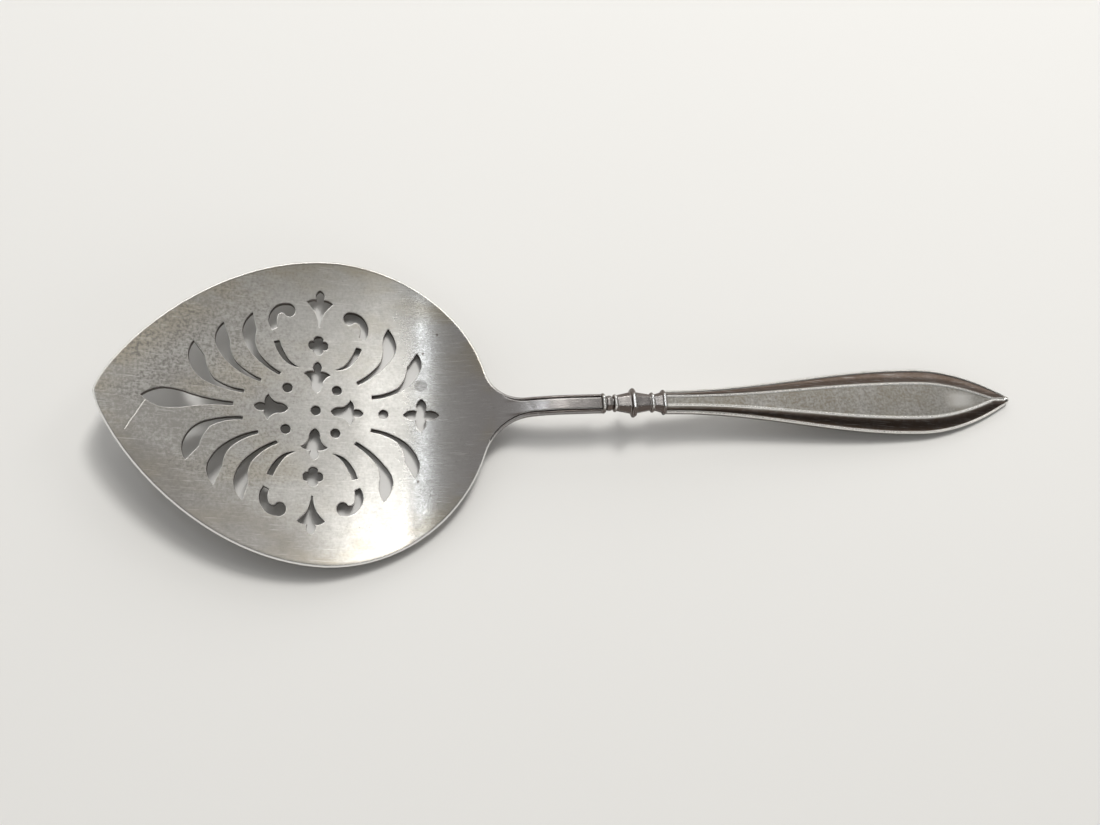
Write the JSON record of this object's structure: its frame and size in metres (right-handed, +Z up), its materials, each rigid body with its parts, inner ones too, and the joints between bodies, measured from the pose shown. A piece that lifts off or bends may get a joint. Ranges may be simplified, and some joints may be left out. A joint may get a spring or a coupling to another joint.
{
  "type": "tomato server",
  "caption": "Pierced, slightly dished server blade with a pointed front, slender stem with ring mouldings and a leaf-shaped panelled handle, in one piece.",
  "frame": {"origin": "on the surface that the server lies on, below the middle of its box", "axes": "+X from the blade's tip to the handle's end along the blade's own axis, +Y across the blade, +Z up, away from the surface it lies on"},
  "size_m": [0.2026, 0.0654, 0.0135],
  "materials": {
    "silver": "worn silver, soft shine, light tarnish"
  },
  "bodies": {
    "root": {"tomato_server": "silver"}
  },
  "joints": []
}
